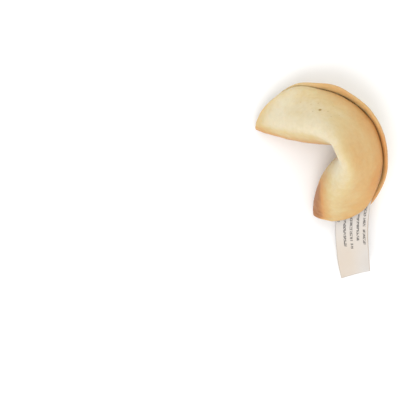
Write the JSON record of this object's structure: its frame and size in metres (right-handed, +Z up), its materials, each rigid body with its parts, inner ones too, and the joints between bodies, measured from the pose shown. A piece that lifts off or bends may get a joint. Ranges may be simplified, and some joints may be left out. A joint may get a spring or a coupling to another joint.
{
  "type": "fortune cookie",
  "caption": "Folded and bent thin crisp wafer, hollow between its two leaves, with a narrow printed paper slip coming out between the lips.",
  "frame": {"origin": "on the surface that the cookie lies on, under the middle of its bounding box", "axes": "+Z up out of that surface; +X to the right and +Y away, with the rim at upper right, the long arm to the left and the short arm towards -Y"},
  "size_m": [0.0504, 0.075, 0.0312],
  "materials": {
    "baked_wafer": "dry, faintly waxy baked surface",
    "slip_paper": "uncoated paper"
  },
  "bodies": {
    "root": {"cookie": "baked_wafer", "paper_slip": "slip_paper"}
  },
  "joints": []
}
